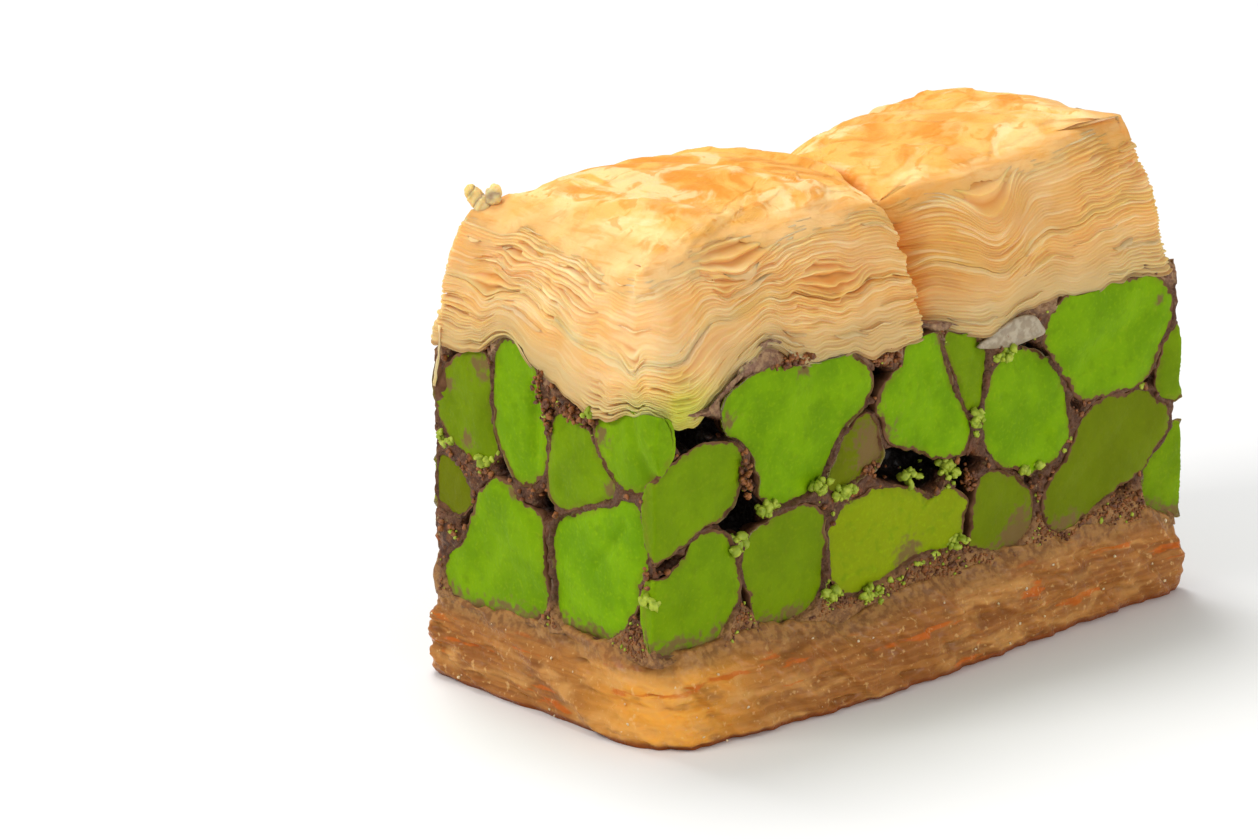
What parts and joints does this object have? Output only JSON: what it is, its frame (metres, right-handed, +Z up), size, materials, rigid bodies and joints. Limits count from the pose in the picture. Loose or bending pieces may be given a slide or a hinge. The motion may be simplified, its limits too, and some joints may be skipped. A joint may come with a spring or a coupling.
{
  "type": "pistachio baklava piece",
  "caption": "Bar of pistachio baklava to serve as a sweet: scored and puffed flaky filo top, filling of cut whole pistachio kernels, syrup-soaked filo bottom.",
  "frame": {"origin": "middle of the bar's box, on its resting face", "axes": "+X along the bar, from the left end to the right, +Y across it, from the front to the back, +Z up"},
  "size_m": [0.0618, 0.0316, 0.0439],
  "materials": {
    "soaked_pastry": "satin",
    "pistachio": "satin",
    "golden_filo": "satin"
  },
  "bodies": {
    "root": {"bottom_pastry": "soaked_pastry", "pistachio_filling": "pistachio", "top_pastry": "golden_filo"}
  },
  "joints": []
}
